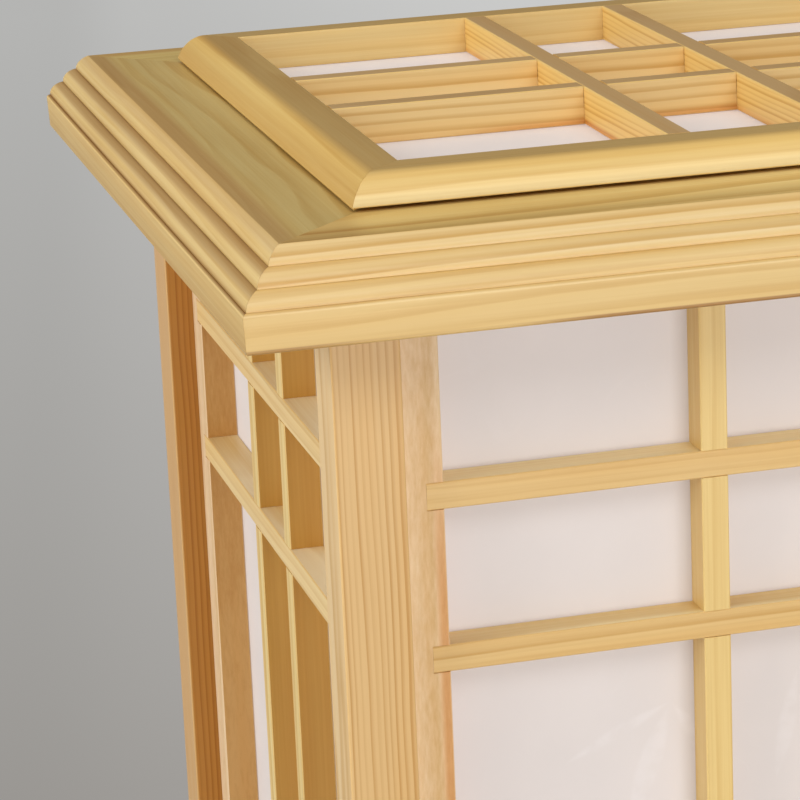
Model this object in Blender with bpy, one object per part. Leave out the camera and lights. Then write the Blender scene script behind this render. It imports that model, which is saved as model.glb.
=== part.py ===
"""Square pine table lantern: moulded cap with a lift-off lattice lid, four posts, four lattice panels
lined with parchment, a moulded base and a screw-in bulb. Metres, Z up, front towards -Y."""
import bpy
import bmesh
import math

for old in list(bpy.data.objects):
    bpy.data.objects.remove(old, do_unlink=True)

MM = 0.001

# Fits
JOINT_GAP = 0.1 * MM         # between glued faces
PANEL_GAP = 0.04 * MM        # the same between the fine bars of a panel
SEAT_GAP = 0.3 * MM          # where one piece stands on another
LID_PLAY = 0.5 * MM          # lid tongue in the cap's opening, each side
BULB_PLAY = 1.2 * MM         # bulb cap in the lampholder, each side
HOLE_PLAY = 0.2 * MM         # grommet and lampholder tail in their holes, each side
ARRIS = 0.3 * MM             # eased long edge of the thin bars
EASED_LENGTH = 12.0 * MM     # shorter edges, as in the joints, stay sharp

# Whole lamp
LAMP_W = 282.0 * MM          # across the cap and the base, both ways
LAMP_H = 457.4 * MM          # table to the lid's top

# Heights above the table
HOUSING_DROP = 13.0 * MM     # deck to the seat inside the cap where posts and panels end
FASCIA_DROP = 22.4 * MM      # deck to the bottom of the cap's fascia
BASE_H = 28.6 * MM           # top of the base's ledge
BASE_SEAT_Z = 19.0 * MM      # seat inside the base where posts and panels stand

# Posts
POST_W = 17.0 * MM
POST_ARRIS = 0.8 * MM

# Mouldings of the cap and the base
OVERHANG = 13.7 * MM         # posts' outer face to the edge of the flat deck
BEAD_RUN = 3.6 * MM          # how far each bead steps out
BEAD_DROP = 4.2 * MM         # how far each bead steps down
BEAD_STARTS = (46.0, 26.0, 26.0)  # slope at the top of each bead, degrees down from level
BEAD_END = 86.0              # slope at the bottom of a bead
QUIRK = 0.35 * MM            # fine groove under each bead
BEAD_STEPS = 6
FASCIA_OUT = 0.6 * MM        # fascia's fullest line outside the last bead
FASCIA_DRAW = 0.4 * MM       # fascia drawn in at its bottom edge
FASCIA_EASE = 0.4 * MM       # bevel along the cap's bottom edge
CAP_LIP = 3.0 * MM           # cap's opening inside the back of the bars
MITRE_GAP = 0.1 * MM         # each side of a mitre

# Lattice panels
SETBACK = 7.6 * MM           # posts' outer face to the bars' outer face
CORNER_GAP = 0.15 * MM       # stiles of two panels, past the corner between them
BAR_W = 6.9 * MM
STILE_W = 11.0 * MM
LET_IN = 4.3 * MM            # how far a cross bar goes into its stile
UPRIGHT_OFFSET = 19.25 * MM  # middle of the panel to an upright's middle
TOP_BAR_DROP = 70.9 * MM     # deck to the middle of the highest cross bar
BAR_PITCH = 41.5 * MM        # between the two cross bars of a pair
LOW_BAR_RISE = 48.5 * MM     # base ledge to the middle of the lowest cross bar

# Parchment
PAPER_T = 0.5 * MM
PAPER_BEND = 3.0 * MM
PAPER_BEND_STEPS = 4

# Lid
LID_RISE = 8.4 * MM          # deck to the lid's top
LID_LAP = 10.7 * MM          # how far the rounded edge laps over the deck
LID_ROUND_RUN = 5.6 * MM     # rounded edge, inwards
LID_ROUND_DROP = 7.1 * MM    # rounded edge, downwards
LID_ROUND_START = 38.0       # its slope at the top, degrees down from level
LID_ROUND_END = 76.0         # its slope at the bottom
LID_ROUND_STEPS = 8
LID_UNDERCUT = 0.2 * MM
LID_RELIEF = 1.0 * MM        # outer strip of the underside above the deck
LID_RELIEF_W = 8.0 * MM
TONGUE_W = 1.9 * MM
LID_REBATE = 2.0 * MM        # inside the tongue, for the sheet
TONGUE_DROP = 6.0 * MM       # deck to the bottom of the tongue
LID_BAR_DEPTH = 10.1 * MM
LID_BAR_W = 6.2 * MM
LID_BAR_OFFSET = 21.05 * MM  # middle of the lid to a bar's middle

# Base board and cable inlet
BOARD_T = 6.0 * MM
BOARD_LEDGE = 4.0 * MM       # how far the board rests on the base mouldings
BOARD_INSET = 0.8 * MM       # board's edge inside the back of the bars
INLET_Z = 7.0 * MM
GROMMET_HOLE_R = 3.3 * MM
GROMMET_BARREL_R = 4.5 * MM
GROMMET_FLANGE_R = 6.0 * MM
GROMMET_FLANGE_T = 1.4 * MM
GROMMET_LENGTH = 10.0 * MM
CUT_PAST = 5.0 * MM          # holes are cut this far past the faces they open

# Lampholder
HOLDER_FLANGE_R = 23.0 * MM
HOLDER_FLANGE_T = 4.0 * MM
HOLDER_R = 19.5 * MM
HOLDER_H = 50.0 * MM
HOLDER_FLOOR = 15.0 * MM
TAIL_R = 5.0 * MM
TAIL_BORE_R = 3.2 * MM
TAIL_LENGTH = 9.0 * MM

# Bulb
BULB_CAP_R = 13.2 * MM
BULB_CAP_H = 26.0 * MM
CONTACT_R = 5.0 * MM
CONTACT_H = 2.4 * MM
NECK_R = 12.6 * MM
GLOBE_R = 30.0 * MM
GLASS_H = 80.0 * MM
TURN_STEPS = 28
SHOULDER_STEPS = 5
CROWN_STEPS = 9

# Places that follow from the sizes above
DECK_Z = LAMP_H - LID_RISE
BEADS = len(BEAD_STARTS)
BAND = LAMP_W / 2
DECK_EDGE = BAND - FASCIA_OUT - BEADS * BEAD_RUN
POST_FACE = DECK_EDGE - OVERHANG
HOUSING_Z = DECK_Z - HOUSING_DROP
PANEL_TOP = HOUSING_Z - SEAT_GAP
PANEL_BOTTOM = BASE_SEAT_Z + SEAT_GAP
POST_INNER = POST_FACE - POST_W
PANEL_FACE = POST_FACE - SETBACK
PAPER_FACE = POST_INNER + CORNER_GAP
BAR_DEPTH = PANEL_FACE - PAPER_FACE
STILE_OUTER = POST_INNER - JOINT_GAP
STILE_INNER = POST_INNER - STILE_W
POST_RECESS = POST_FACE + SEAT_GAP
LAP_DEPTH = (BAR_DEPTH - PANEL_GAP) / 2
CAP_OPENING = PAPER_FACE - CAP_LIP
LID_EDGE = CAP_OPENING + LID_LAP
LID_OPENING = CAP_OPENING - LID_PLAY - TONGUE_W - LID_REBATE
BOARD_HALF = PAPER_FACE - BOARD_INSET
BOARD_TOP = BASE_SEAT_Z
BOARD_BOTTOM = BOARD_TOP - BOARD_T
CROSSBAR_Z = (
    DECK_Z - TOP_BAR_DROP,
    DECK_Z - TOP_BAR_DROP - BAR_PITCH,
    BASE_H + LOW_BAR_RISE + BAR_PITCH,
    BASE_H + LOW_BAR_RISE,
)
SIDES = ("front", "right", "back", "left")


def material(name, colour, roughness, metallic=0.0):
    made = bpy.data.materials.new(name)
    made.use_nodes = True
    shader = made.node_tree.nodes["Principled BSDF"]
    shader.inputs["Base Color"].default_value = (*colour, 1.0)
    shader.inputs["Roughness"].default_value = roughness
    shader.inputs["Metallic"].default_value = metallic
    made.diffuse_color = (*colour, 1.0)
    return made


PINE_CAP = material("pine_cap", (0.70, 0.46, 0.20), 0.42)
PINE_LID = material("pine_lid", (0.66, 0.43, 0.19), 0.42)
PINE_POST = material("pine_post", (0.68, 0.43, 0.20), 0.45)
PINE_BARS = material("pine_bars", (0.72, 0.50, 0.23), 0.45)
PINE_BASE = material("pine_base", (0.69, 0.45, 0.20), 0.42)
PARCHMENT = material("parchment", (0.84, 0.79, 0.75), 0.75)
PLYWOOD = material("plywood", (0.60, 0.45, 0.27), 0.7)
BLACK_PLASTIC = material("black_plastic", (0.03, 0.03, 0.03), 0.4)
BLACK_RUBBER = material("black_rubber", (0.02, 0.02, 0.02), 0.8)
OPAL_GLASS = material("opal_glass", (0.86, 0.85, 0.82), 0.25)
CAP_METAL = material("cap_metal", (0.72, 0.68, 0.58), 0.3, 1.0)
CONTACT_METAL = material("contact_metal", (0.55, 0.53, 0.48), 0.35, 1.0)


def finish_piece(name, bm, paint, smooth=False):
    """Close a mesh into a named piece; rounded pieces keep edges over 30 degrees crisp."""
    bmesh.ops.recalc_face_normals(bm, faces=bm.faces)
    mesh = bpy.data.meshes.new(name)
    bm.to_mesh(mesh)
    bm.free()
    mesh.materials.append(paint)
    if smooth:
        mesh.polygons.foreach_set("use_smooth", [True] * len(mesh.polygons))
        mesh.set_sharp_from_angle(angle=math.radians(30))
    piece = bpy.data.objects.new(name, mesh)
    bpy.context.collection.objects.link(piece)
    return piece


def prism(name, outline, across, low, high, paint, arris=0.0):
    """Extrude an outline of (u, v) points from low to high along the axis `across`, long edges eased by arris.
    u and v are the other two axes in X, Y, Z order."""
    place = {
        "x": lambda u, v, w: (w, u, v),
        "y": lambda u, v, w: (u, w, v),
        "z": lambda u, v, w: (u, v, w),
    }[across]
    bm = bmesh.new()
    start = [bm.verts.new(place(u, v, low)) for u, v in outline]
    end = [bm.verts.new(place(u, v, high)) for u, v in outline]
    bm.faces.new(start)
    bm.faces.new(end)
    for i in range(len(outline)):
        j = (i + 1) % len(outline)
        bm.faces.new((start[i], start[j], end[j], end[i]))
    bmesh.ops.recalc_face_normals(bm, faces=bm.faces)
    if arris:
        eased = [edge for edge in bm.edges if edge.calc_length() > EASED_LENGTH]
        bmesh.ops.bevel(bm, geom=eased, offset=arris, segments=1, affect="EDGES", profile=0.5)
    return finish_piece(name, bm, paint)


def rectangle(u_low, u_high, v_low, v_high):
    return [(u_low, v_low), (u_high, v_low), (u_high, v_high), (u_low, v_high)]


def lathe(name, profile, paint):
    """Turn a closed profile of (radius, height) points about Z; points on the axis become poles."""
    bm = bmesh.new()
    rings = []
    for radius, height in profile:
        if radius == 0.0:
            rings.append([bm.verts.new((0.0, 0.0, height))])
            continue
        ring = []
        for k in range(TURN_STEPS):
            angle = 2 * math.pi * k / TURN_STEPS
            ring.append(bm.verts.new((radius * math.cos(angle), radius * math.sin(angle), height)))
        rings.append(ring)
    for a, b in zip(rings, rings[1:] + rings[:1]):
        if len(a) == 1 and len(b) == 1:
            continue
        for k in range(TURN_STEPS):
            n = (k + 1) % TURN_STEPS
            corners = [a[k % len(a)], a[n % len(a)], b[n % len(b)], b[k % len(b)]]
            bm.faces.new(list(dict.fromkeys(corners)))
    return finish_piece(name, bm, paint, smooth=True)


def moulding(name, profile, side, paint):
    """Run a profile of (distance from the middle, height) along one side, mitred at both ends."""
    bm = bmesh.new()
    left = [bm.verts.new((-(r - MITRE_GAP), -r, z)) for r, z in profile]
    right = [bm.verts.new((r - MITRE_GAP, -r, z)) for r, z in profile]
    bm.faces.new(left)
    bm.faces.new(right)
    for i in range(len(profile)):
        j = (i + 1) % len(profile)
        bm.faces.new((left[i], left[j], right[j], right[i]))
    piece = finish_piece(name, bm, paint, smooth=True)
    piece.rotation_euler[2] = side * math.pi / 2
    return piece


def flattened_arc(start, end, steps):
    """Shares of the run and of the drop along an arc between two slopes given in degrees."""
    first = math.radians(start)
    last = math.radians(end)
    shares = []
    for i in range(steps + 1):
        a = first + (last - first) * i / steps
        out = (math.sin(a) - math.sin(first)) / (math.sin(last) - math.sin(first))
        down = (math.cos(first) - math.cos(a)) / (math.cos(first) - math.cos(last))
        shares.append((out, down))
    return shares


def bead_line():
    """Beads stepping out and down from the deck edge, each a flattened arc with a quirk below it."""
    run = BEAD_RUN - QUIRK
    drop = BEAD_DROP - QUIRK
    points = []
    for k, start in enumerate(BEAD_STARTS):
        r0 = DECK_EDGE + k * BEAD_RUN
        z0 = -k * BEAD_DROP
        for out, down in flattened_arc(start, BEAD_END, BEAD_STEPS):
            points.append((r0 + run * out, z0 - drop * down))
        points.append((r0 + run - QUIRK / 2, z0 - BEAD_DROP))
    return points


def cut(piece, cutter):
    """Cut a hole through a piece; the cutter stays hidden."""
    cutter.hide_render = True
    cutter.display_type = "WIRE"
    hole = piece.modifiers.new(cutter.name, "BOOLEAN")
    hole.operation = "DIFFERENCE"
    hole.solver = "EXACT"
    hole.object = cutter


# Base: four mitred mouldings, the rear one drilled and counterbored for the cable grommet
beads = bead_line()
ledge_edge = BOARD_HALF + HOLE_PLAY
base_profile = [(r, BASE_H + z) for r, z in beads]
base_profile += [
    (BAND - FASCIA_OUT, BASE_H - BEADS * BEAD_DROP),
    (BAND, BASE_H - BEADS * BEAD_DROP - FASCIA_OUT),
    (BAND, FASCIA_DRAW),
    (BAND - FASCIA_DRAW, 0.0),
    (ledge_edge - BOARD_LEDGE, 0.0),
    (ledge_edge - BOARD_LEDGE, BOARD_BOTTOM - SEAT_GAP),
    (ledge_edge, BOARD_BOTTOM - SEAT_GAP),
    (ledge_edge, BASE_SEAT_Z),
    (POST_RECESS, BASE_SEAT_Z),
    (POST_RECESS, BASE_H),
]
for k, side in enumerate(SIDES):
    base_side = moulding("base_" + side, base_profile, k, PINE_BASE)
    if side == "back":
        bore_r = GROMMET_BARREL_R + HOLE_PLAY
        sink_r = GROMMET_FLANGE_R + HOLE_PLAY
        sink = GROMMET_FLANGE_T + SEAT_GAP
        inner_end = BAND - ledge_edge + BOARD_LEDGE + CUT_PAST
        cable_hole = lathe("cable_hole_cutter", [
            (0.0, -inner_end),
            (bore_r, -inner_end),
            (bore_r, -sink),
            (sink_r, -sink),
            (sink_r, CUT_PAST),
            (0.0, CUT_PAST),
        ], BLACK_RUBBER)
        cable_hole.location = (0.0, BAND, INLET_Z)
        cable_hole.rotation_euler[0] = -math.pi / 2
        cut(base_side, cable_hole)

grommet = lathe("cable_grommet", [
    (GROMMET_HOLE_R, -GROMMET_LENGTH),
    (GROMMET_BARREL_R, -GROMMET_LENGTH),
    (GROMMET_BARREL_R, -GROMMET_FLANGE_T),
    (GROMMET_FLANGE_R, -GROMMET_FLANGE_T),
    (GROMMET_FLANGE_R, 0.0),
    (GROMMET_HOLE_R, 0.0),
], BLACK_RUBBER)
grommet.location = (0.0, BAND, INLET_Z)
grommet.rotation_euler[0] = -math.pi / 2

# Base board, let into the base mouldings, with a hole for the lampholder's tail
base_board = prism(
    "base_board", rectangle(-BOARD_HALF, BOARD_HALF, -BOARD_HALF, BOARD_HALF),
    "z", BOARD_BOTTOM, BOARD_TOP, PLYWOOD,
)
tail_hole = lathe("tail_hole_cutter", [
    (0.0, BOARD_BOTTOM - CUT_PAST),
    (TAIL_R + HOLE_PLAY, BOARD_BOTTOM - CUT_PAST),
    (TAIL_R + HOLE_PLAY, BOARD_TOP + CUT_PAST),
    (0.0, BOARD_TOP + CUT_PAST),
], PLYWOOD)
cut(base_board, tail_hole)

# Corner posts
post_outline = rectangle(-POST_FACE, -POST_INNER, -POST_FACE, -POST_INNER)
for k, corner in enumerate(("front_left", "front_right", "back_right", "back_left")):
    post = prism("post_" + corner, post_outline, "z", PANEL_BOTTOM, PANEL_TOP, PINE_POST, POST_ARRIS)
    post.rotation_euler[2] = k * math.pi / 2

# Lattice panels: notched stiles, uprights notched in front, cross bars notched behind
stile_outline = [(STILE_OUTER, PANEL_BOTTOM), (STILE_OUTER, PANEL_TOP), (STILE_INNER, PANEL_TOP)]
upright_outline = [(-PAPER_FACE, PANEL_BOTTOM), (-PAPER_FACE, PANEL_TOP), (-PANEL_FACE, PANEL_TOP)]
notch = BAR_W / 2 + PANEL_GAP
upright_notch_y = -PANEL_FACE + LAP_DEPTH + PANEL_GAP
for z in CROSSBAR_Z:
    stile_outline += [
        (STILE_INNER, z + notch),
        (STILE_INNER + LET_IN + PANEL_GAP, z + notch),
        (STILE_INNER + LET_IN + PANEL_GAP, z - notch),
        (STILE_INNER, z - notch),
    ]
    upright_outline += [
        (-PANEL_FACE, z + notch),
        (upright_notch_y, z + notch),
        (upright_notch_y, z - notch),
        (-PANEL_FACE, z - notch),
    ]
stile_outline.append((STILE_INNER, PANEL_BOTTOM))
upright_outline.append((-PANEL_FACE, PANEL_BOTTOM))

crossbar_end = STILE_INNER + LET_IN
crossbar_notch_y = -PANEL_FACE + LAP_DEPTH
crossbar_outline = [(-crossbar_end, -PANEL_FACE), (crossbar_end, -PANEL_FACE), (crossbar_end, -PAPER_FACE)]
for x in (UPRIGHT_OFFSET, -UPRIGHT_OFFSET):
    crossbar_outline += [
        (x + notch, -PAPER_FACE),
        (x + notch, crossbar_notch_y),
        (x - notch, crossbar_notch_y),
        (x - notch, -PAPER_FACE),
    ]
crossbar_outline.append((-crossbar_end, -PAPER_FACE))

for k, side in enumerate(SIDES):
    pieces = []
    for n, hand in ((1, -1), (2, 1)):
        outline = [(hand * x, z) for x, z in stile_outline]
        pieces.append(prism(f"stile_{side}_{n}", outline, "y", -PANEL_FACE, -PAPER_FACE, PINE_BARS, ARRIS))
        low = hand * UPRIGHT_OFFSET - BAR_W / 2
        pieces.append(prism(f"upright_{side}_{n}", upright_outline, "x", low, low + BAR_W, PINE_BARS, ARRIS))
    for n, z in enumerate(CROSSBAR_Z, start=1):
        low = z - BAR_W / 2
        pieces.append(prism(f"crossbar_{side}_{n}", crossbar_outline, "z", low, low + BAR_W, PINE_BARS, ARRIS))
    for piece in pieces:
        piece.rotation_euler[2] = k * math.pi / 2

# Parchment lining: one sheet wrapped round behind the four panels
def wrapped_square(half, bend):
    """Square of the given half width with its four corners bent on a radius."""
    points = []
    for k, (sx, sy) in enumerate(((1, 1), (-1, 1), (-1, -1), (1, -1))):
        for i in range(PAPER_BEND_STEPS + 1):
            a = math.pi / 2 * (k + i / PAPER_BEND_STEPS)
            x = sx * (half - bend) + bend * math.cos(a)
            y = sy * (half - bend) + bend * math.sin(a)
            points.append((x, y))
    return points


paper_half = PAPER_FACE - PANEL_GAP
outer_line = wrapped_square(paper_half, PAPER_BEND)
inner_line = wrapped_square(paper_half - PAPER_T, PAPER_BEND - PAPER_T)
bm = bmesh.new()
loops = []
for line, z in ((outer_line, PANEL_BOTTOM), (outer_line, PANEL_TOP), (inner_line, PANEL_TOP),
                (inner_line, PANEL_BOTTOM)):
    loops.append([bm.verts.new((x, y, z)) for x, y in line])
for a, b in zip(loops, loops[1:] + loops[:1]):
    for i in range(len(a)):
        j = (i + 1) % len(a)
        bm.faces.new((a[i], a[j], b[j], b[i]))
finish_piece("paper_lining", bm, PARCHMENT, smooth=True)

# Cap: four mitred mouldings that sit over the posts, with a square opening for the lid
cap_profile = [(r, DECK_Z + z) for r, z in beads]
cap_profile += [
    (BAND - FASCIA_OUT, DECK_Z - BEADS * BEAD_DROP),
    (BAND, DECK_Z - BEADS * BEAD_DROP - FASCIA_OUT),
    (BAND - FASCIA_DRAW, DECK_Z - FASCIA_DROP + FASCIA_EASE),
    (BAND - FASCIA_DRAW - FASCIA_EASE, DECK_Z - FASCIA_DROP),
    (POST_RECESS, DECK_Z - FASCIA_DROP),
    (POST_RECESS, HOUSING_Z),
    (CAP_OPENING, HOUSING_Z),
    (CAP_OPENING, DECK_Z),
]
for k, side in enumerate(SIDES):
    moulding("cap_" + side, cap_profile, k, PINE_CAP)

# Lid: lifts straight up off the deck; its pieces are placed from the deck's middle
lid_place = bpy.data.objects.new("lid_place", None)
lid_place.location = (0.0, 0.0, DECK_Z)
bpy.context.collection.objects.link(lid_place)

tongue_out = CAP_OPENING - LID_PLAY
tongue_in = tongue_out - TONGUE_W
rail_bottom = LID_RISE - LID_BAR_DEPTH
round_r = LID_EDGE - LID_ROUND_RUN
rail_profile = [(LID_OPENING, LID_RISE)]
for out, down in flattened_arc(LID_ROUND_START, LID_ROUND_END, LID_ROUND_STEPS):
    rail_profile.append((round_r + LID_ROUND_RUN * out, LID_RISE - LID_ROUND_DROP * down))
rail_profile += [
    (LID_EDGE - LID_UNDERCUT, LID_RELIEF),
    (LID_EDGE - LID_RELIEF_W, LID_RELIEF),
    (LID_EDGE - LID_RELIEF_W, SEAT_GAP),
    (tongue_out, SEAT_GAP),
    (tongue_out, -TONGUE_DROP),
    (tongue_in, -TONGUE_DROP),
    (tongue_in, rail_bottom),
    (LID_OPENING, rail_bottom),
]
lid_pieces = []
for k, side in enumerate(SIDES):
    lid_pieces.append(moulding("lid_rail_" + side, rail_profile, k, PINE_LID))

bar_end = LID_OPENING - JOINT_GAP
bar_notch = LID_BAR_W / 2 + JOINT_GAP
lap = (LID_BAR_DEPTH - JOINT_GAP) / 2
over_outline = [(-bar_end, LID_RISE), (bar_end, LID_RISE), (bar_end, rail_bottom)]
under_outline = [(bar_end, rail_bottom), (-bar_end, rail_bottom), (-bar_end, LID_RISE)]
for x in (LID_BAR_OFFSET, -LID_BAR_OFFSET):
    over_outline += [
        (x + bar_notch, rail_bottom),
        (x + bar_notch, LID_RISE - lap),
        (x - bar_notch, LID_RISE - lap),
        (x - bar_notch, rail_bottom),
    ]
    under_outline += [
        (-x - bar_notch, LID_RISE),
        (-x - bar_notch, rail_bottom + lap),
        (-x + bar_notch, rail_bottom + lap),
        (-x + bar_notch, LID_RISE),
    ]
over_outline.append((-bar_end, rail_bottom))
under_outline.append((bar_end, LID_RISE))
for n, middle in ((1, -LID_BAR_OFFSET), (2, LID_BAR_OFFSET)):
    low = middle - LID_BAR_W / 2
    lid_pieces.append(
        prism(f"lid_bar_across_{n}", under_outline, "y", low, low + LID_BAR_W, PINE_LID, ARRIS))
    lid_pieces.append(
        prism(f"lid_bar_deep_{n}", over_outline, "x", low, low + LID_BAR_W, PINE_LID, ARRIS))

sheet_half = tongue_in - JOINT_GAP
sheet_top = rail_bottom - JOINT_GAP
lid_pieces.append(prism(
    "lid_sheet", rectangle(-sheet_half, sheet_half, -sheet_half, sheet_half),
    "z", sheet_top - PAPER_T, sheet_top, PARCHMENT,
))
for piece in lid_pieces:
    piece.parent = lid_place

# Lampholder, its tail through the board; it and the bulb are placed from the board's middle
lampholder = lathe("lampholder", [
    (TAIL_BORE_R, -TAIL_LENGTH),
    (TAIL_R, -TAIL_LENGTH),
    (TAIL_R, 0.0),
    (HOLDER_FLANGE_R, 0.0),
    (HOLDER_FLANGE_R, HOLDER_FLANGE_T),
    (HOLDER_R, HOLDER_FLANGE_T + HOLDER_FLANGE_R - HOLDER_R),
    (HOLDER_R, HOLDER_H),
    (BULB_CAP_R + BULB_PLAY, HOLDER_H),
    (BULB_CAP_R + BULB_PLAY, HOLDER_FLOOR),
    (TAIL_BORE_R, HOLDER_FLOOR),
], BLACK_PLASTIC)
lampholder.location[2] = BOARD_TOP + SEAT_GAP

# Bulb: turns and rises on the lampholder's axis
bulb_place = bpy.data.objects.new("bulb_place", None)
bulb_place.location = (0.0, 0.0, BOARD_TOP + SEAT_GAP + HOLDER_FLOOR + SEAT_GAP)
bpy.context.collection.objects.link(bulb_place)

bulb_contact = lathe("bulb_contact", [
    (0.0, 0.0),
    (CONTACT_R, 0.0),
    (CONTACT_R, CONTACT_H),
    (0.0, CONTACT_H),
], CONTACT_METAL)

cap_foot = CONTACT_H + JOINT_GAP
taper = BULB_CAP_R - CONTACT_R
bulb_cap = lathe("bulb_cap", [
    (0.0, cap_foot),
    (CONTACT_R, cap_foot),
    (BULB_CAP_R, cap_foot + taper / 2),
    (BULB_CAP_R, cap_foot + BULB_CAP_H),
    (0.0, cap_foot + BULB_CAP_H),
], CAP_METAL)

neck = cap_foot + BULB_CAP_H + JOINT_GAP
globe_z = neck + GLASS_H - GLOBE_R
glass_profile = [(0.0, neck), (NECK_R, neck)]
for i in range(1, SHOULDER_STEPS + 1):
    t = i / SHOULDER_STEPS
    blend = t * t * (3 - 2 * t)
    glass_profile.append((NECK_R + (GLOBE_R - NECK_R) * blend, neck + (globe_z - neck) * t))
for i in range(1, CROWN_STEPS):
    a = math.pi / 2 * i / CROWN_STEPS
    glass_profile.append((GLOBE_R * math.cos(a), globe_z + GLOBE_R * math.sin(a)))
glass_profile.append((0.0, globe_z + GLOBE_R))
bulb_glass = lathe("bulb_glass", glass_profile, OPAL_GLASS)
for piece in (bulb_contact, bulb_cap, bulb_glass):
    piece.parent = bulb_place
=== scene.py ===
import math

import bmesh
import bpy
import numpy as np
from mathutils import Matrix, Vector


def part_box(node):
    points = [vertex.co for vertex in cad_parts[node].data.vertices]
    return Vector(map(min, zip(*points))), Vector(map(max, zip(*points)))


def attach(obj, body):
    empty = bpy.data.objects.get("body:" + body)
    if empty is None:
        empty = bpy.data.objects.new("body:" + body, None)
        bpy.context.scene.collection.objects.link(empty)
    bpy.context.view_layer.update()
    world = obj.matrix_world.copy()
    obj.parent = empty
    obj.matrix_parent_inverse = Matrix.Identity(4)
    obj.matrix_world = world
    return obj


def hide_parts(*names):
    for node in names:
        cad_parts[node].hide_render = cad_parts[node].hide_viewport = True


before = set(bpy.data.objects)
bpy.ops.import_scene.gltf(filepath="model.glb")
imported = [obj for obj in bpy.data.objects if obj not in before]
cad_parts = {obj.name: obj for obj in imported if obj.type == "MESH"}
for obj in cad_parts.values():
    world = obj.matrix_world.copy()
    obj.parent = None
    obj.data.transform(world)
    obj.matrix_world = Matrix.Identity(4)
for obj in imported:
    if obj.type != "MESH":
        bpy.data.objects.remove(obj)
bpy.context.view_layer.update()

scene = bpy.context.scene
scene.view_settings.view_transform = "Standard"

# Camera: in front and to the left of the lamp, a little above the lid, with a long lens aimed at the
# upper left corner, so that the picture holds the lid, the cap and the top of two panels.
camera = bpy.data.objects.new("camera", bpy.data.cameras.new("camera"))
camera.data.sensor_fit = "HORIZONTAL"
camera.data.sensor_width = 36.0
camera.data.lens = 155.57
camera.data.clip_end = 50.0
camera.location = (-0.28619, -0.87364, 0.62915)
camera.rotation_euler = tuple(math.radians(a) for a in (73.9814, 2.397, -14.5205))
scene.collection.objects.link(camera)
scene.camera = camera


# Floor: a plain pale studio floor that fades to an even grey away from the lamp. Near the lamp it is a
# matt painted surface that takes the shadow; further out the camera sees a steady tone, which is paler
# in a stretch behind the lamp.
class Wire:
    """One socket of a material's node tree. Sums on it add Math nodes; node() adds any other node."""

    def __init__(self, tree, socket=None):
        self.tree = tree
        self.socket = socket

    def node(self, kind, settings=None, inputs=None, output=0):
        """A new node: its settings are made first, then its inputs are linked or set. Gives an output."""
        made = self.tree.nodes.new(kind)
        for key, value in (settings or {}).items():
            setattr(made, key, value)
        for key, value in (inputs or {}).items():
            if isinstance(value, Wire):
                self.tree.links.new(value.socket, made.inputs[key])
            else:
                made.inputs[key].default_value = value
        return Wire(self.tree, made.outputs[output])

    def out(self, name):
        """Another output of the same node."""
        return Wire(self.tree, self.socket.node.outputs[name])

    def math(self, operation, *values):
        """A Math node with this value first."""
        return self.node("ShaderNodeMath", {"operation": operation}, dict(enumerate((self,) + values)))

    def held(self):
        """This value kept between 0 and 1."""
        return self.math("MAXIMUM", 0.0).math("MINIMUM", 1.0)

    def rise(self, low, high):
        """0 below low, 1 above high and a smooth step between; falls when low is the greater."""
        return self.node("ShaderNodeMapRange", {"interpolation_type": "SMOOTHSTEP"}, {
            "Value": self, "From Min": low, "From Max": high})

    def blend(self, low, high, kind="MIX"):
        """This value, from 0 to 1, as a mix from the colour low to the colour high."""
        return self.node("ShaderNodeMix", {"data_type": "RGBA", "blend_type": kind}, {
            0: self, 6: low if isinstance(low, Wire) else (*low, 1.0),
            7: high if isinstance(high, Wire) else (*high, 1.0)}, 2)

    def __add__(self, other):
        return self.math("ADD", other)

    def __sub__(self, other):
        return self.math("SUBTRACT", other)

    def __mul__(self, other):
        return self.math("MULTIPLY", other)

    def __truediv__(self, other):
        return self.math("DIVIDE", other)

    def __pow__(self, other):
        return self.math("POWER", other)

    def __abs__(self):
        return self.math("ABSOLUTE")

    def __rsub__(self, other):
        return self.node("ShaderNodeMath", {"operation": "SUBTRACT"}, {0: other, 1: self})

    __radd__ = __add__
    __rmul__ = __mul__


def new_finish(name):
    """An empty material and the Wire that its nodes grow from."""
    made = bpy.data.materials.new(name)
    made.use_nodes = True
    made.node_tree.nodes.clear()
    return made, Wire(made.node_tree)


def lay(made, shader):
    """Join a shader to the material's output."""
    end = made.node_tree.nodes.new("ShaderNodeOutputMaterial")
    made.node_tree.links.new(shader.socket, end.inputs["Surface"])
    return made


FLOOR_HALF = 12.0
MATT_WITHIN = (0.2, 0.45)
NEAR_TONE_AT = 0.657
FAR_TONE_AT = 2.886
PALE_LEAN = 0.17
PALE_START = -0.14
PALE_EDGE = (-0.085, 0.015)
PALE_EDGE_SHARE = 0.35
PALE_SPREAD = (0.0, 0.45)
PALE_BEHIND = (0.2, 0.7)
near_tone = (0.322, 0.308, 0.290)
far_tone = (0.460, 0.460, 0.450)
pale_tint = (1.28, 1.28, 1.29)
floor_mesh = bpy.data.meshes.new("floor")
floor_corners = np.array(((-1, -1, 0), (1, -1, 0), (1, 1, 0), (-1, 1, 0))) * FLOOR_HALF
floor_mesh.from_pydata(floor_corners.tolist(), [], [(0, 1, 2, 3)])
floor = bpy.data.objects.new("floor", floor_mesh)
scene.collection.objects.link(floor)
made, wire = new_finish("floor_paint")
place = wire.node("ShaderNodeTexCoord", {}, {}, "Object")
away = wire.node("ShaderNodeVectorMath", {"operation": "LENGTH"}, {0: place}, 1)
seen = wire.node("ShaderNodeLightPath", {}, {}, "Is Camera Ray")
seen = (seen + seen.out("Is Glossy Ray") + seen.out("Is Transmission Ray")).math("MINIMUM", 1.0)
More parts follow.
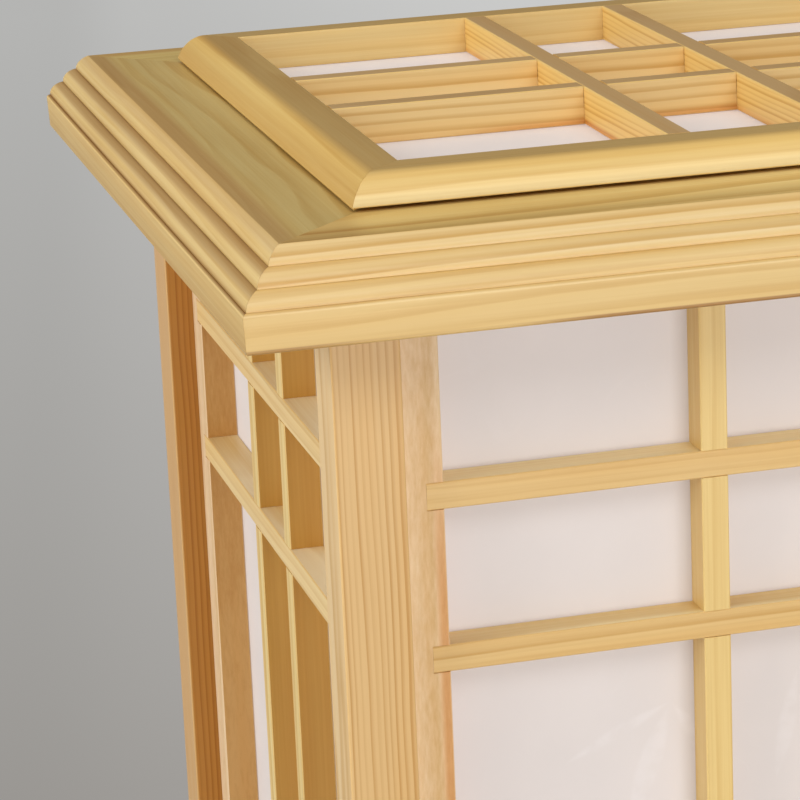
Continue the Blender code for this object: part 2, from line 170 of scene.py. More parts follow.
spread = away.math("LOGARITHM", math.e) - math.log(NEAR_TONE_AT)
spread = (spread / math.log(FAR_TONE_AT / NEAR_TONE_AT)).held()
tone = spread.blend(near_tone, far_tone)
split = wire.node("ShaderNodeSeparateXYZ", {}, {0: place})
aside = split.out("X") - split.out("Y") * PALE_LEAN - PALE_START
pale = aside.rise(*PALE_EDGE) * PALE_EDGE_SHARE + aside.rise(*PALE_SPREAD) * (1 - PALE_EDGE_SHARE)
tone = (pale * split.out("Y").rise(*PALE_BEHIND)).blend(tone, pale_tint, "MULTIPLY")
matt = wire.node("ShaderNodeBsdfPrincipled", {}, {
    "Base Color": (0.55, 0.54, 0.52, 1.0), "Roughness": 0.9, "Specular IOR Level": 0.1})
steady = wire.node("ShaderNodeEmission", {}, {"Color": tone})
floor_mesh.materials.append(lay(made, wire.node("ShaderNodeMixShader", {}, {
    0: seen * away.rise(*MATT_WITHIN), 1: matt, 2: steady})))

# Light: a low lamp and a high one in front, a broad one to the left and one straight above, with a dim
# warm room. The low one keeps the sheets free of shadow; the high one leaves a soft shade under the cap.
world = bpy.data.worlds.new("room")
scene.world = world
world.use_nodes = True
world.node_tree.nodes["Background"].inputs["Color"].default_value = (1.0, 0.86, 0.68, 1.0)
world.node_tree.nodes["Background"].inputs["Strength"].default_value = 0.24


def soft_lamp(name, place, aim, width, height, watts, colour):
    """A rectangular area lamp at a place, turned to face a point."""
    data = bpy.data.lights.new(name, "AREA")
    data.shape = "RECTANGLE"
    data.size = width
    data.size_y = height
    data.energy = watts
    data.color = colour
    lamp = bpy.data.objects.new(name, data)
    lamp.location = place
    away = np.subtract(place, aim)
    lamp.rotation_euler = (
        math.atan2(math.hypot(away[0], away[1]), away[2]), 0.0, math.atan2(away[0], -away[1]))
    scene.collection.objects.link(lamp)


COOL = (0.96, 0.98, 1.0)
CLEAR = (0.97, 0.99, 1.0)
soft_lamp("front_lamp", place=(0.35, -2.3, 0.30), aim=(0.0, 0.0, 0.3), width=1.3, height=0.42,
          watts=21.3, colour=COOL)
soft_lamp("high_lamp", place=(0.40, -1.75, 1.75), aim=(0.0, 0.0, 0.42), width=1.2, height=0.8,
          watts=13.0, colour=COOL)
soft_lamp("left_lamp", place=(-2.4, -0.4, 1.15), aim=(0.0, 0.0, 0.38), width=2.2, height=2.0,
          watts=51.0, colour=CLEAR)
soft_lamp("top_lamp", place=(-0.1, 0.0, 2.2), aim=(0.0, 0.0, 0.45), width=1.2, height=1.2,
          watts=7.0, colour=CLEAR)


# Base: four pine mouldings with three beads, mitred and glued into a square. The rear one is bored and
# counterbored for the cable. Pine here is lacquered and satin, with fine straight growth rings.
def pine(name, along, body, pith, ring, shift, figure=0.5, fibre=0.3, mottle=0.8, fleck=13.0,
         top_shading=None, level=0.955, crest=None, margins=(), streak_and_shade=None, flank_shading=(),
         hollow_stain_and_shade=(0.66, 0.54, 0.38), eased="wear_and_shading"):
    """Lacquered pine. Growth rings are the distance from a pith line that runs along the piece, wandering
    slowly and of uneven width; each ring darkens steadily to its late wood and starts pale again. Fibres
    are noise stretched along the grain, broad noise mottles the tone, and some streaks are warmer.
    Tints multiply the colour: on faces that look up, painted shade where the tint is darker and painted
    light where it is paler, and margins there, each from one place along an axis, or out from the middle, to
    another; the crest, a painted highlight on slopes; a band between two places along an axis, which may
    be faint at one height and full at another, and which is grain on the stiles and painted shade elsewhere;
    and painted light and shade on each flank. Eased edges are paler and hollows darker, partly as rubbing and
    stain and partly as painted highlight and painted shade: a piece of this file carries both as a point
    attribute, above and below 0, and on a CAD node the eased edges are the faces that look along no axis."""
    made, wire = new_finish(name)
    place = wire.node("ShaderNodeTexCoord", {}, {}, "Object")
    split = wire.node("ShaderNodeSeparateXYZ", {}, {0: place})
    u, v = (split.out(axis) for axis in "XYZ".replace(along, ""))

    def grain(lengthways, across, detail, rough=0.5):
        scale = [across] * 3
        scale["XYZ".index(along)] = lengthways
        moved = wire.node("ShaderNodeMapping", {}, {
            "Vector": place, "Scale": scale, "Location": (shift * 7.3, shift * 3.1, shift * 5.7)})
        return wire.node("ShaderNodeTexNoise", {}, {
            "Vector": moved, "Scale": 1.0, "Detail": detail, "Roughness": rough})

    drift = grain(5.0, 16.0, 1.0) - 0.5
    waver = grain(22.0, 40.0, 1.0) - 0.5
    du = u - pith[0]
    dv = v - pith[1]
    radius = (du * du + dv * dv) ** 0.5 + drift * 0.006 + waver * 0.0012
    turns = radius / ring + (grain(6.0, 0.22 / ring, 0.0) - 0.5) * 1.1
    phase = turns.math("FRACT")
    chance = wire.node("ShaderNodeTexWhiteNoise", {"noise_dimensions": "1D"}, {
        "W": turns.math("FLOOR") + shift})
    late_wood = phase ** 2.2 * (1 - phase ** 14.0) * (chance ** 1.6 + 0.3)
    fibres = grain(fleck, 1150.0, 3.0, 0.65)
    cloud = grain(9.0, 45.0, 2.0, 0.6)
    dark = ((late_wood - 0.25) * (figure * 1.8) + (fibres - 0.5) * (fibre * 2.2)
            + (cloud - 0.5) * mottle + 0.35)
    early = np.multiply(body, (1.07, 1.10, 1.17))
    late = np.multiply(body, (0.84, 0.72, 0.50))
    warm = grain(4.0, 150.0, 1.0)
    colour = warm.rise(0.42, 0.62).blend(dark.held().blend(early, late), (1.0, 0.96, 0.88), "MULTIPLY")
    facing = wire.node("ShaderNodeNewGeometry", {}, {}, "Normal")
    axes = wire.node("ShaderNodeSeparateXYZ", {}, {0: facing})
    flat = axes.out("Z").rise(level, 0.995)
    # Painted shade on the faces that look up where the tint is darker, painted light where it is paler.
    if top_shading:
        colour = flat.blend(colour, top_shading, "MULTIPLY")
    for axis, start, end, tint in margins:
        if axis == "out":
            reach = abs(split.out("X")).math("MAXIMUM", abs(split.out("Y")))
        else:
            reach = split.out(axis)
        colour = (reach.rise(start, end) * flat).blend(colour, tint, "MULTIPLY")
    # The crest is a painted highlight on sloped faces.
    if crest:
        slope = axes.out("Z").rise(0.12, 0.45) * axes.out("Z").rise(0.92, 0.72)
        colour = slope.blend(colour, crest, "MULTIPLY")
    # Painted shade along the fascia's foot and the lid bars' foot; on the stiles this band is grain.
    if streak_and_shade:
        axis, start, end, tint, *heights = streak_and_shade
        shown = cloud.rise(0.3, 0.55)
        if heights:
            shown = shown * split.out("Z").rise(*heights)
        colour = (split.out(axis).rise(start, end) * shown).blend(colour, tint, "MULTIPLY")
    # Painted light and painted shade on faces that look along an axis, by how light falls on them.
    for towards, tint in flank_shading:
        look = axes.out(towards[-1])
        look = 0 - look if towards[0] == "-" else abs(look)
        colour = look.rise(0.6, 0.9).blend(colour, tint, "MULTIPLY")
    # Paler eased edges are rubbing and painted highlight; darker hollows are stain and painted shade.
    if eased == "wear_and_shading":
        rubbed_and_sheen = wire.node("ShaderNodeAttribute", {"attribute_name": "wear_and_shading"}, {}, "Fac")
        colour = (0 - rubbed_and_sheen).held().blend(colour, hollow_stain_and_shade, "MULTIPLY")
        rubbed_and_sheen = rubbed_and_sheen.math("MAXIMUM", 0.0) * 0.7
    else:
        squarest = abs(axes.out("X")).math("MAXIMUM", abs(axes.out("Y")))
        rubbed_and_sheen = squarest.math("MAXIMUM", abs(axes.out("Z"))).rise(0.95, 0.8) * 0.6
    colour = (rubbed_and_sheen * (0.6 + fibres * 0.8)).held().blend(colour, np.multiply(body, (1.14, 1.18, 1.3)))
    height = wire.node("ShaderNodeBump", {}, {
        "Strength": 0.3, "Distance": 0.0002, "Height": fibres * 0.6 + late_wood * 0.4})
    return lay(made, wire.node("ShaderNodeBsdfPrincipled", {}, {
        "Base Color": colour, "Roughness": 0.36 + fibres * 0.16, "Normal": height,
        "Coat Weight": 0.08, "Coat Roughness": 0.25}))


def skin(rows, closed_rows, closed_columns):
    """Quads over a grid of points, joined round where the grid closes on itself; ends of a closed
    profile that runs along an open path are filled with one face each."""
    count, width = rows.shape[:2]
    index = np.arange(count * width).reshape(count, width)
    below = np.roll(index, -1, axis=0)
    beside = np.roll(index, -1, axis=1)
    across = np.roll(below, -1, axis=1)
    quads = np.stack((index, beside, across, below), axis=2)
    quads = quads[:count if closed_rows else count - 1, :width if closed_columns else width - 1]
    faces = quads.reshape(-1, 4).tolist()
    if closed_rows and not closed_columns:
        faces += [index[::-1, 0].tolist(), index[:, -1].tolist()]
    return rows.reshape(-1, 3), faces


SAME_POINT = 1e-7
SHARP_TURN = math.radians(30)


def closed_mesh(name, points, faces, wear_and_shading=None):
    """A mesh with its doubled points merged and its faces turned outwards, with an optional value for each
    point that marks rubbing and stain together with painted highlight and painted shade.
    """
    mesh = bpy.data.meshes.new(name)
    mesh.from_pydata(points.tolist(), [], faces)
    if wear_and_shading is not None:
        mesh.attributes.new("wear_and_shading", "FLOAT", "POINT").data.foreach_set("value", wear_and_shading.ravel())
    shell = bmesh.new()
    shell.from_mesh(mesh)
    bmesh.ops.remove_doubles(shell, verts=shell.verts, dist=SAME_POINT)
    bmesh.ops.recalc_face_normals(shell, faces=shell.faces)
    shell.to_mesh(mesh)
    shell.free()
    return mesh


def crisp(mesh):
    """Smooth shading with edges that turn sharply kept sharp."""
    mesh.polygons.foreach_set("use_smooth", [True] * len(mesh.polygons))
    mesh.set_sharp_from_angle(angle=SHARP_TURN)


def piece(name, points, faces, finish, body, slot, *nodes, wear_and_shading=None):
    """A closed mesh that stands for CAD nodes, riding on a body."""
    mesh = closed_mesh(name, points, faces, wear_and_shading)
    crisp(mesh)
    mesh.materials.append(finish)
    made = bpy.data.objects.new(name, mesh)
    scene.collection.objects.link(made)
    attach(made, body)
    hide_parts(*nodes)
    return made


HOLLOW_REACH = 0.0011
EASE_SHARE = 0.35
EASE_STEPS = 5
FLAT_FROM = 1.35


def ease(profile, size):
    """Round the outward corners of a closed profile that turn sharply: each becomes a parabola from `size`
    before it to `size` after it, or less where the next point is near, with a point further out on either
    side to keep the faces beside it flat. Returns the new profile and a value for each point, for rubbing
    and stain together with painted highlight and shade, which is 1 in the middle of such a corner and
    falls to -1 in an inward corner."""
    following = np.roll(profile, -1, axis=0)
    back = np.roll(profile, 1, axis=0) - profile
    ahead = following - profile
    lengths = np.minimum(np.linalg.norm(back, axis=1), np.linalg.norm(ahead, axis=1))
    crossing = ahead[:, 0] * back[:, 1] - ahead[:, 1] * back[:, 0]
    turn = np.pi - np.abs(np.arctan2(crossing, (back * ahead).sum(axis=1)))
    winding = np.sign((profile[:, 0] * following[:, 1] - following[:, 0] * profile[:, 1]).sum())
    sharp = (turn > SHARP_TURN) & (crossing * winding > 0)
    reach = np.where(sharp, np.minimum(size, EASE_SHARE * lengths), 0.0)[:, None, None]
    back = (back / np.linalg.norm(back, axis=1, keepdims=True))[:, None]
    ahead = (ahead / np.linalg.norm(ahead, axis=1, keepdims=True))[:, None]
    t = np.linspace(0.0, 1.0, EASE_STEPS)[None, :, None]
    bend = (1 - t) ** 2 * back + t ** 2 * ahead
    bend = np.concatenate((FLAT_FROM * back, bend, FLAT_FROM * ahead), axis=1)
    points = (profile[:, None] + reach * bend).reshape(-1, 2)
    wear_and_shading = (sharp[:, None] * np.pad(np.sin(np.pi * t[:, :, 0]), ((0, 0), (1, 1)))).ravel()
    hollows = profile[(turn > SHARP_TURN) & (crossing * winding < 0)]
    if len(hollows):
        near = np.linalg.norm(points[:, None] - hollows[None], axis=2).min(axis=1)
        wear_and_shading = wear_and_shading - np.exp(-near / HOLLOW_REACH)
    apart = np.linalg.norm(points - np.roll(points, 1, axis=0), axis=1) > SAME_POINT
    return points[apart], wear_and_shading[apart]


MITRE_GAP = 0.00003
RUN_STEPS = 9


def mitred_run(profile, turn):
    """A profile carried along one side of the square: each profile point (r, z) is a straight line at
    distance r from the middle that ends where it meets the next side, turned by quarter turns."""
    steps = np.linspace(-1.0, 1.0, RUN_STEPS)
    r, z = profile[:, :1], profile[:, 1:]
    x = (r - MITRE_GAP) * steps
    y = -r + 0 * x
    for _ in range(turn):
        x, y = -y, x
    return skin(np.stack((x, y, z + 0 * x), axis=2), True, False)


def arc(start, end, count):
    """Shares of the run and of the drop along a circle's part between two slopes in degrees."""
    a = np.radians(np.linspace(start, end, count))
    out = (np.sin(a) - np.sin(a[0])) / (np.sin(a[-1]) - np.sin(a[0]))
    down = (np.cos(a[0]) - np.cos(a)) / (np.cos(a[0]) - np.cos(a[-1]))
    return out, down


EDGE_EASE = 0.0003
BEAD_RUN = 0.0036
BEAD_DROP = 0.0042
BEAD_STARTS = (46.0, 26.0, 26.0)
BEAD_END = 86.0
BEAD_STEPS = 15
QUIRK = 0.00035
FASCIA_OUT = 0.0006
FASCIA_DRAW = 0.0004


def beads(edge, top):
    """Three beads stepping out and down from the edge of a flat, with a point on the flat that keeps it so:
    each is the part of a circle between two slopes, stretched to the bead's run and drop, and has a fine
    quirk below it."""
    points = [[(edge - EDGE_EASE, top)]]
    for k, start in enumerate(BEAD_STARTS):
        out, down = arc(start, BEAD_END, BEAD_STEPS)
        r = edge + k * BEAD_RUN
        z = top - k * BEAD_DROP
        points.append(np.column_stack((r + (BEAD_RUN - QUIRK) * out, z - (BEAD_DROP - QUIRK) * down)))
        points.append([(r + BEAD_RUN - QUIRK, z - BEAD_DROP)])
    return np.vstack(points)


def turned(profile, steps):
    """A profile of (r, h) points turned about an axis: r times cosine, r times sine, and h."""
    angle = np.linspace(0.0, 2 * math.pi, steps, endpoint=False)
    r, h = profile[:, :1], profile[:, 1:]
    return r * np.cos(angle), r * np.sin(angle), h + 0 * angle


sides = ("front", "right", "back", "left")
runs = ("X", "Y", "X", "Y")
outward = (-1, 1, 1, -1)
base_low, base_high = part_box("base_front")
band = -base_low.y
flat_edge = band - FASCIA_OUT - len(BEAD_STARTS) * BEAD_RUN
beads_drop = len(BEAD_STARTS) * BEAD_DROP
post_face = -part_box("post_front_left")[0].y
board_low, board_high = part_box("base_board")
SEAT_GAP = 0.0003
HOLE_PLAY = 0.0002
ledge = board_high.x + HOLE_PLAY
base_profile, base_wear_and_shading = ease(np.vstack((
    beads(flat_edge, base_high.z),
    [(band - FASCIA_OUT, base_high.z - beads_drop), (band, base_high.z - beads_drop - FASCIA_OUT),
     (band, FASCIA_DRAW), (band - FASCIA_DRAW, 0.0),
     (-base_high.y, 0.0), (-base_high.y, board_low.z - SEAT_GAP), (ledge, board_low.z - SEAT_GAP),
     (ledge, board_high.z), (post_face + SEAT_GAP, board_high.z), (post_face + SEAT_GAP, base_high.z)],
)), EDGE_EASE)
base_body = (0.70, 0.475, 0.19)
base_mouldings = {}
for k, side in enumerate(sides):
    pith = (outward[k] * 0.118, base_high.z - 0.07)
    # Painted shade on the faces that look up and a painted highlight on the beads' slopes.
    finish = pine(f"base_{side}_pine", runs[k], base_body, pith, ring=0.0025, shift=1.7 * k + 3,
                  top_shading=(0.78, 0.82, 0.72), crest=(1.0, 1.06, 1.3))
    base_mouldings[side] = piece(
        f"base_moulding_{side}", *mitred_run(base_profile, k), finish, "lamp", "pine_base", f"base_{side}",
        wear_and_shading=np.repeat(base_wear_and_shading, RUN_STEPS))


def bore(moulding, points, faces):
    """Cut a closed shape out of a moulding."""
    drill = bpy.data.objects.new("drill", closed_mesh("drill", points, faces))
    scene.collection.objects.link(drill)
    hole = moulding.modifiers.new("bore", "BOOLEAN")
    hole.object = drill
    hole.solver = "EXACT"
    bored = bpy.data.meshes.new_from_object(moulding.evaluated_get(bpy.context.evaluated_depsgraph_get()))
    moulding.modifiers.clear()
    moulding.data = bored
    crisp(bored)
    bpy.data.objects.remove(drill)


GROMMET_BARREL_R = 0.0045
GROMMET_FLANGE_T = 0.0014
BORE_STEPS = 72
BORE_DEPTH = 0.06
BORE_PAST = 0.005
inlet_low, inlet_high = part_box("cable_grommet")
inlet_z = (inlet_low.z + inlet_high.z) / 2
sink_r = (inlet_high.x - inlet_low.x) / 2 + HOLE_PLAY
bore_r = GROMMET_BARREL_R + HOLE_PLAY
sink = GROMMET_FLANGE_T + SEAT_GAP
x, z, y = turned(np.array((
    (0.0, -BORE_DEPTH), (bore_r, -BORE_DEPTH), (bore_r, -sink), (sink_r, -sink), (sink_r, BORE_PAST),
    (0.0, BORE_PAST))), BORE_STEPS)
bore(base_mouldings["back"], *skin(np.stack((x, band + y, inlet_z + z), axis=2), False, True))


# Base board: a square of birch plywood let into the base mouldings from below, with a hole in its
# middle for the lampholder's tail. Only its face shows, and that from inside.
def dress(node, finish):
    """Give a CAD node its finish."""
    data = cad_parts[node].data
    data.materials.clear()
    data.materials.append(finish)


dress("base_board", pine("plywood_face", "X", (0.62, 0.47, 0.29), pith=(0.0, 0.09), ring=0.006, shift=2.2,
                         figure=0.6, fibre=0.4, eased="normals"))

# Cable grommet: a flanged rubber ring pressed into the bore of the rear moulding, so that a cable can
# pass the wood without chafing.
made, wire = new_finish("black_rubber_finish")
place = wire.node("ShaderNodeTexCoord", {}, {}, "Object")
dust = wire.node("ShaderNodeTexNoise", {}, {"Vector": place, "Scale": 400.0, "Detail": 3.0})
height = wire.node("ShaderNodeBump", {}, {"Strength": 0.2, "Distance": 0.0001, "Height": dust})
rubber = lay(made, wire.node("ShaderNodeBsdfPrincipled", {}, {
    "Base Color": dust.rise(0.5, 0.8).blend((0.018, 0.018, 0.018), (0.05, 0.048, 0.045)),
    "Roughness": 0.62 + dust * 0.2, "Normal": height}))
GROMMET_HOLE_R = 0.0033
GROMMET_FLANGE_R = 0.006
GROMMET_LENGTH = 0.010
LIP_ROUND = 0.0006
ring, _ = ease(np.array((
    (GROMMET_HOLE_R, -GROMMET_LENGTH), (GROMMET_BARREL_R, -GROMMET_LENGTH),
    (GROMMET_BARREL_R, -GROMMET_FLANGE_T), (GROMMET_FLANGE_R, -GROMMET_FLANGE_T),
    (GROMMET_FLANGE_R, 0.0), (GROMMET_HOLE_R, 0.0))), LIP_ROUND)
x, z, y = turned(ring, BORE_STEPS)
piece("grommet_ring", *skin(np.stack((x, band + y, inlet_z + z), axis=2), True, True), rubber, "lamp",
      "black_rubber", "cable_grommet")

# Lampholder: a moulded black plastic holder for a screw bulb, with a round foot and three grip rings,
# fixed by its tail through the base board.
made, wire = new_finish("black_plastic_finish")
place = wire.node("ShaderNodeTexCoord", {}, {}, "Object")
stipple = wire.node("ShaderNodeTexNoise", {}, {"Vector": place, "Scale": 900.0, "Detail": 2.0})
haze = wire.node("ShaderNodeTexNoise", {}, {"Vector": place, "Scale": 60.0, "Detail": 3.0})
height = wire.node("ShaderNodeBump", {}, {"Strength": 0.25, "Distance": 0.0001, "Height": stipple})
plastic = lay(made, wire.node("ShaderNodeBsdfPrincipled", {}, {
    "Base Color": haze.rise(0.35, 0.75).blend((0.022, 0.022, 0.023), (0.04, 0.039, 0.038)),
    "Roughness": 0.34 + haze * 0.2, "Normal": height}))
holder_low, holder_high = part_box("lampholder")
foot_z = board_high.z + SEAT_GAP
HOLDER_R = 0.0195
SOCKET_R = 0.0144
SOCKET_FLOOR = 0.015
TAIL_R = 0.005
TAIL_BORE_R = 0.0032
FOOT_T = 0.004
GRIP_LOW = 0.012
GRIP_HIGH = 0.030
GRIP_PITCH = 0.006
GRIP_DEPTH = 0.0005
GRIP_STEPS = 73
MOULDED_EASE = 0.0008
ROUND_STEPS = 96
foot_r = holder_high.x
grip = np.linspace(GRIP_LOW, GRIP_HIGH, GRIP_STEPS)
grip_r = HOLDER_R - GRIP_DEPTH * np.maximum(0.0, np.sin(grip * 2 * math.pi / GRIP_PITCH)) ** 0.5
holder_profile, _ = ease(np.vstack((
    [(TAIL_BORE_R, holder_low.z), (TAIL_R, holder_low.z), (TAIL_R, foot_z), (foot_r, foot_z),
     (foot_r, foot_z + FOOT_T), (HOLDER_R, foot_z + FOOT_T + foot_r - HOLDER_R)],
    np.column_stack((grip_r, foot_z + grip)),
    [(HOLDER_R, holder_high.z), (SOCKET_R, holder_high.z), (SOCKET_R, foot_z + SOCKET_FLOOR),
     (TAIL_BORE_R, foot_z + SOCKET_FLOOR)],
)), MOULDED_EASE)
piece("holder_shell", *skin(np.stack(turned(holder_profile, ROUND_STEPS), axis=2), True, True), plastic,
      "lamp", "black_plastic", "lampholder")


# Bulb: opal glass globe cemented into a rolled metal screw cap, with a soldered contact at the foot. It
# turns in the lampholder and rises by the thread's pitch at each turn.
def bright_metal(name, body, rough):
    """Rolled metal: fine rings of noise round the axis change its shine, and broad noise its tone."""
    made, wire = new_finish(name)
    place = wire.node("ShaderNodeTexCoord", {}, {}, "Object")
    rolled = wire.node("ShaderNodeMapping", {}, {"Vector": place, "Scale": (40.0, 40.0, 2400.0)})
    rings = wire.node("ShaderNodeTexNoise", {}, {"Vector": rolled, "Scale": 1.0, "Detail": 2.0})
    stain = wire.node("ShaderNodeTexNoise", {}, {"Vector": place, "Scale": 150.0, "Detail": 3.0})
    return lay(made, wire.node("ShaderNodeBsdfPrincipled", {}, {
        "Base Color": stain.rise(0.3, 0.75).blend(body, np.multiply(body, (0.82, 0.78, 0.70))),
        "Metallic": 1.0, "Roughness": rough + rings * 0.2}))


THREAD_PITCH = 0.003629
THREAD_DEPTH = 0.0009
THREAD_FADE = 0.002
THREAD_STOP = 0.004
THREAD_STEPS = 141
screw_low, screw_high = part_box("bulb_cap")
crest = screw_high.x
contact_low, contact_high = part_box("bulb_contact")
contact_r = contact_high.x
taper_top = screw_low.z + (crest - contact_r) / 2
z = np.linspace(taper_top, screw_high.z, THREAD_STEPS)[:, None]
angle = np.linspace(0.0, 2 * math.pi, ROUND_STEPS, endpoint=False)[None, :]
fade = np.clip((z - taper_top) / THREAD_FADE, 0, 1)
fade = fade * np.clip((screw_high.z - THREAD_STOP - z) / THREAD_FADE, 0, 1)
wall = crest - THREAD_DEPTH * fade * (0.5 - 0.5 * np.cos(2 * math.pi * z / THREAD_PITCH - angle))
z = np.vstack(([[screw_low.z]], [[screw_low.z]], z, [[screw_high.z]]))
wall = np.vstack((0 * angle, contact_r + 0 * angle, wall, 0 * angle))
rows = np.stack((wall * np.cos(angle), wall * np.sin(angle), z + 0 * angle), axis=2)
cap_metal = bright_metal("cap_metal_finish", (0.78, 0.76, 0.70), 0.22)
piece("screw_cap", *skin(rows, False, True), cap_metal, "bulb", "cap_metal", "bulb_cap")
CONTACT_STEPS = 64
dome = np.linspace(0.0, math.pi / 2, 10)
contact_h = contact_high.z - contact_low.z
contact_profile = np.vstack((
    np.column_stack((contact_r * np.sin(dome), contact_high.z - contact_h * np.cos(dome))),
    [(0.0, contact_high.z)]))
contact_metal = bright_metal("contact_metal_finish", (0.56, 0.54, 0.49), 0.3)
piece("contact_button", *skin(np.stack(turned(contact_profile, CONTACT_STEPS), axis=2), False, True),
      contact_metal, "bulb_carrier", "contact_metal", "bulb_contact")
made, wire = new_finish("opal_glass_finish")
place = wire.node("ShaderNodeTexCoord", {}, {}, "Object")
milk = wire.node("ShaderNodeTexNoise", {}, {"Vector": place, "Scale": 30.0, "Detail": 2.0})
opal = lay(made, wire.node("ShaderNodeBsdfPrincipled", {}, {
    "Base Color": milk.rise(0.3, 0.7).blend((0.83, 0.82, 0.79), (0.87, 0.865, 0.845)),
    "Roughness": 0.16 + milk * 0.1, "Coat Weight": 0.3, "Coat Roughness": 0.05}))
glass_low, glass_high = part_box("bulb_glass")
globe_r = glass_high.x
NECK_R = 0.0126
globe_z = glass_high.z - globe_r
t = np.linspace(0.0, 1.0, 30)
swell = NECK_R + (globe_r - NECK_R) * t * t * (3 - 2 * t)
crown = np.linspace(0.0, math.pi / 2, 24)[1:]
glass_profile = np.vstack((
    [(0.0, glass_low.z)],
    np.column_stack((swell, glass_low.z + (globe_z - glass_low.z) * t)),
    np.column_stack((globe_r * np.cos(crown), globe_z + globe_r * np.sin(crown)))))
piece("opal_globe", *skin(np.stack(turned(glass_profile, ROUND_STEPS), axis=2), False, True), opal, "bulb",
      "opal_glass", "bulb_glass")

# Corner posts: square pine sticks with their arrises taken off, tenoned into the base below and into the
# cap above. Their growth rings show as fine upright lines on the front.
POST_EASE = 0.0006
post_body = (0.655, 0.405, 0.155)
# Painted light on the front posts' side faces; painted shade on the back posts' faces that look forward and
# to the sides.
lit_cheeks = [("X", (1.18, 1.34, 1.72))]
shaded_faces = [("-Y", (0.78, 0.56, 0.22)), ("X", (0.95, 0.9, 0.9))]
for k, corner in enumerate(("front_left", "front_right", "back_right", "back_left")):
    low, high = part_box(f"post_{corner}")
    outline, wear_and_shading = ease(np.array(
        ((low.x, low.y), (high.x, low.y), (high.x, high.y), (low.x, high.y))), POST_EASE)
    x, y = outline[:, :1], outline[:, 1:]
    heights = np.linspace(low.z, high.z, RUN_STEPS)
    rows = np.stack((x + 0 * heights, y + 0 * heights, heights + 0 * x), axis=2)
    inner_x = low.x if low.x > 0 else high.x
    outer_y = high.y if low.y > 0 else low.y
    finish = pine(f"post_{corner}_pine", "Z", post_body, pith=(-inner_x * 0.35, outer_y * 0.97), ring=0.0016,
                  shift=1.3 * k, figure=1.0, fibre=0.42, mottle=0.6,
                  flank_shading=shaded_faces if corner.startswith("back") else lit_cheeks)
    piece(f"corner_post_{corner}", *skin(rows, True, False), finish, "lamp", "pine_post", f"post_{corner}",
          wear_and_shading=np.repeat(wear_and_shading, RUN_STEPS))

# Lattice panels: on each side two stiles against the posts, two uprights and four cross bars of square
# pine, half-lapped flush into each other; the cross bars are let into the stiles.
stile_body = (0.785, 0.57, 0.325)
upright_body = (0.76, 0.535, 0.195)
crossbar_body = (0.715, 0.47, 0.175)
STREAK_FROM = 0.0036
STREAK_FULL = 0.0014
STREAK_FAINT_DOWN = 0.0257
STREAK_FULL_DOWN = 0.0857
for k, side in enumerate(sides):
    across = runs[k]
    # Side panels: painted shade on faces that look front and back, painted light on faces that look out to
    # the side; every cross bar: painted light on its top.
    flank_shading = [("Y", (0.84, 0.65, 0.36)), ("X", (1.07, 1.13, 1.28))] if across == "Y" else []
    lit_side_faces = [("X", (1.15, 1.28, 1.6))] if across == "Y" else []
    lit_tops = (1.24, 1.6, 2.7) if across == "Y" else (1.25, 1.55, 2.12)
    for n in (1, 2):
        low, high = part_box(f"stile_{side}_{n}")
        middle = (low + high) / 2
        width = high.x - low.x if across == "X" else high.y - low.y
        outer = np.where(np.array(middle) > 0, np.array(high), np.array(low))
        pith = (outer[0] * 2, middle.y) if across == "X" else (middle.x, outer[1] * 2)
        streak_and_shade = None
        if across == "X":
            inner = low.x + high.x - outer[0]
            way = np.sign(outer[0])
            streak_and_shade = ("X", float(inner + way * STREAK_FROM), float(inner + way * STREAK_FULL),
                      (0.86, 0.59, 0.34), high.z - STREAK_FAINT_DOWN, high.z - STREAK_FULL_DOWN)
        dress(f"stile_{side}_{n}", pine(
            f"stile_{side}_{n}_pine", "Z", stile_body, pith, ring=width, shift=0.9 * n + 2 * k, figure=0.4,
            fibre=0.6, mottle=0.9, fleck=220.0, streak_and_shade=streak_and_shade, flank_shading=flank_shading, eased="normals"))
        low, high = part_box(f"upright_{side}_{n}")
        middle = (low + high) / 2
        pith = (middle.x + 0.05, middle.y) if across == "X" else (middle.x, middle.y + 0.05)
        dress(f"upright_{side}_{n}", pine(
            f"upright_{side}_{n}_pine", "Z", upright_body, pith, ring=0.0046, shift=1.1 * n + 3 * k,
            figure=0.55, fibre=0.42, flank_shading=flank_shading, eased="normals"))
    for n in (1, 2, 3, 4):
        low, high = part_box(f"crossbar_{side}_{n}")
        middle = (low + high) / 2
        pith = ((middle.y if across == "X" else middle.x), middle.z + 0.06)
        dress(f"crossbar_{side}_{n}", pine(
            f"crossbar_{side}_{n}_pine", across, crossbar_body, pith, ring=0.0036, shift=0.7 * n + 5 * k,
            figure=0.55, fibre=0.4, top_shading=lit_tops, flank_shading=lit_side_faces, eased="normals"))
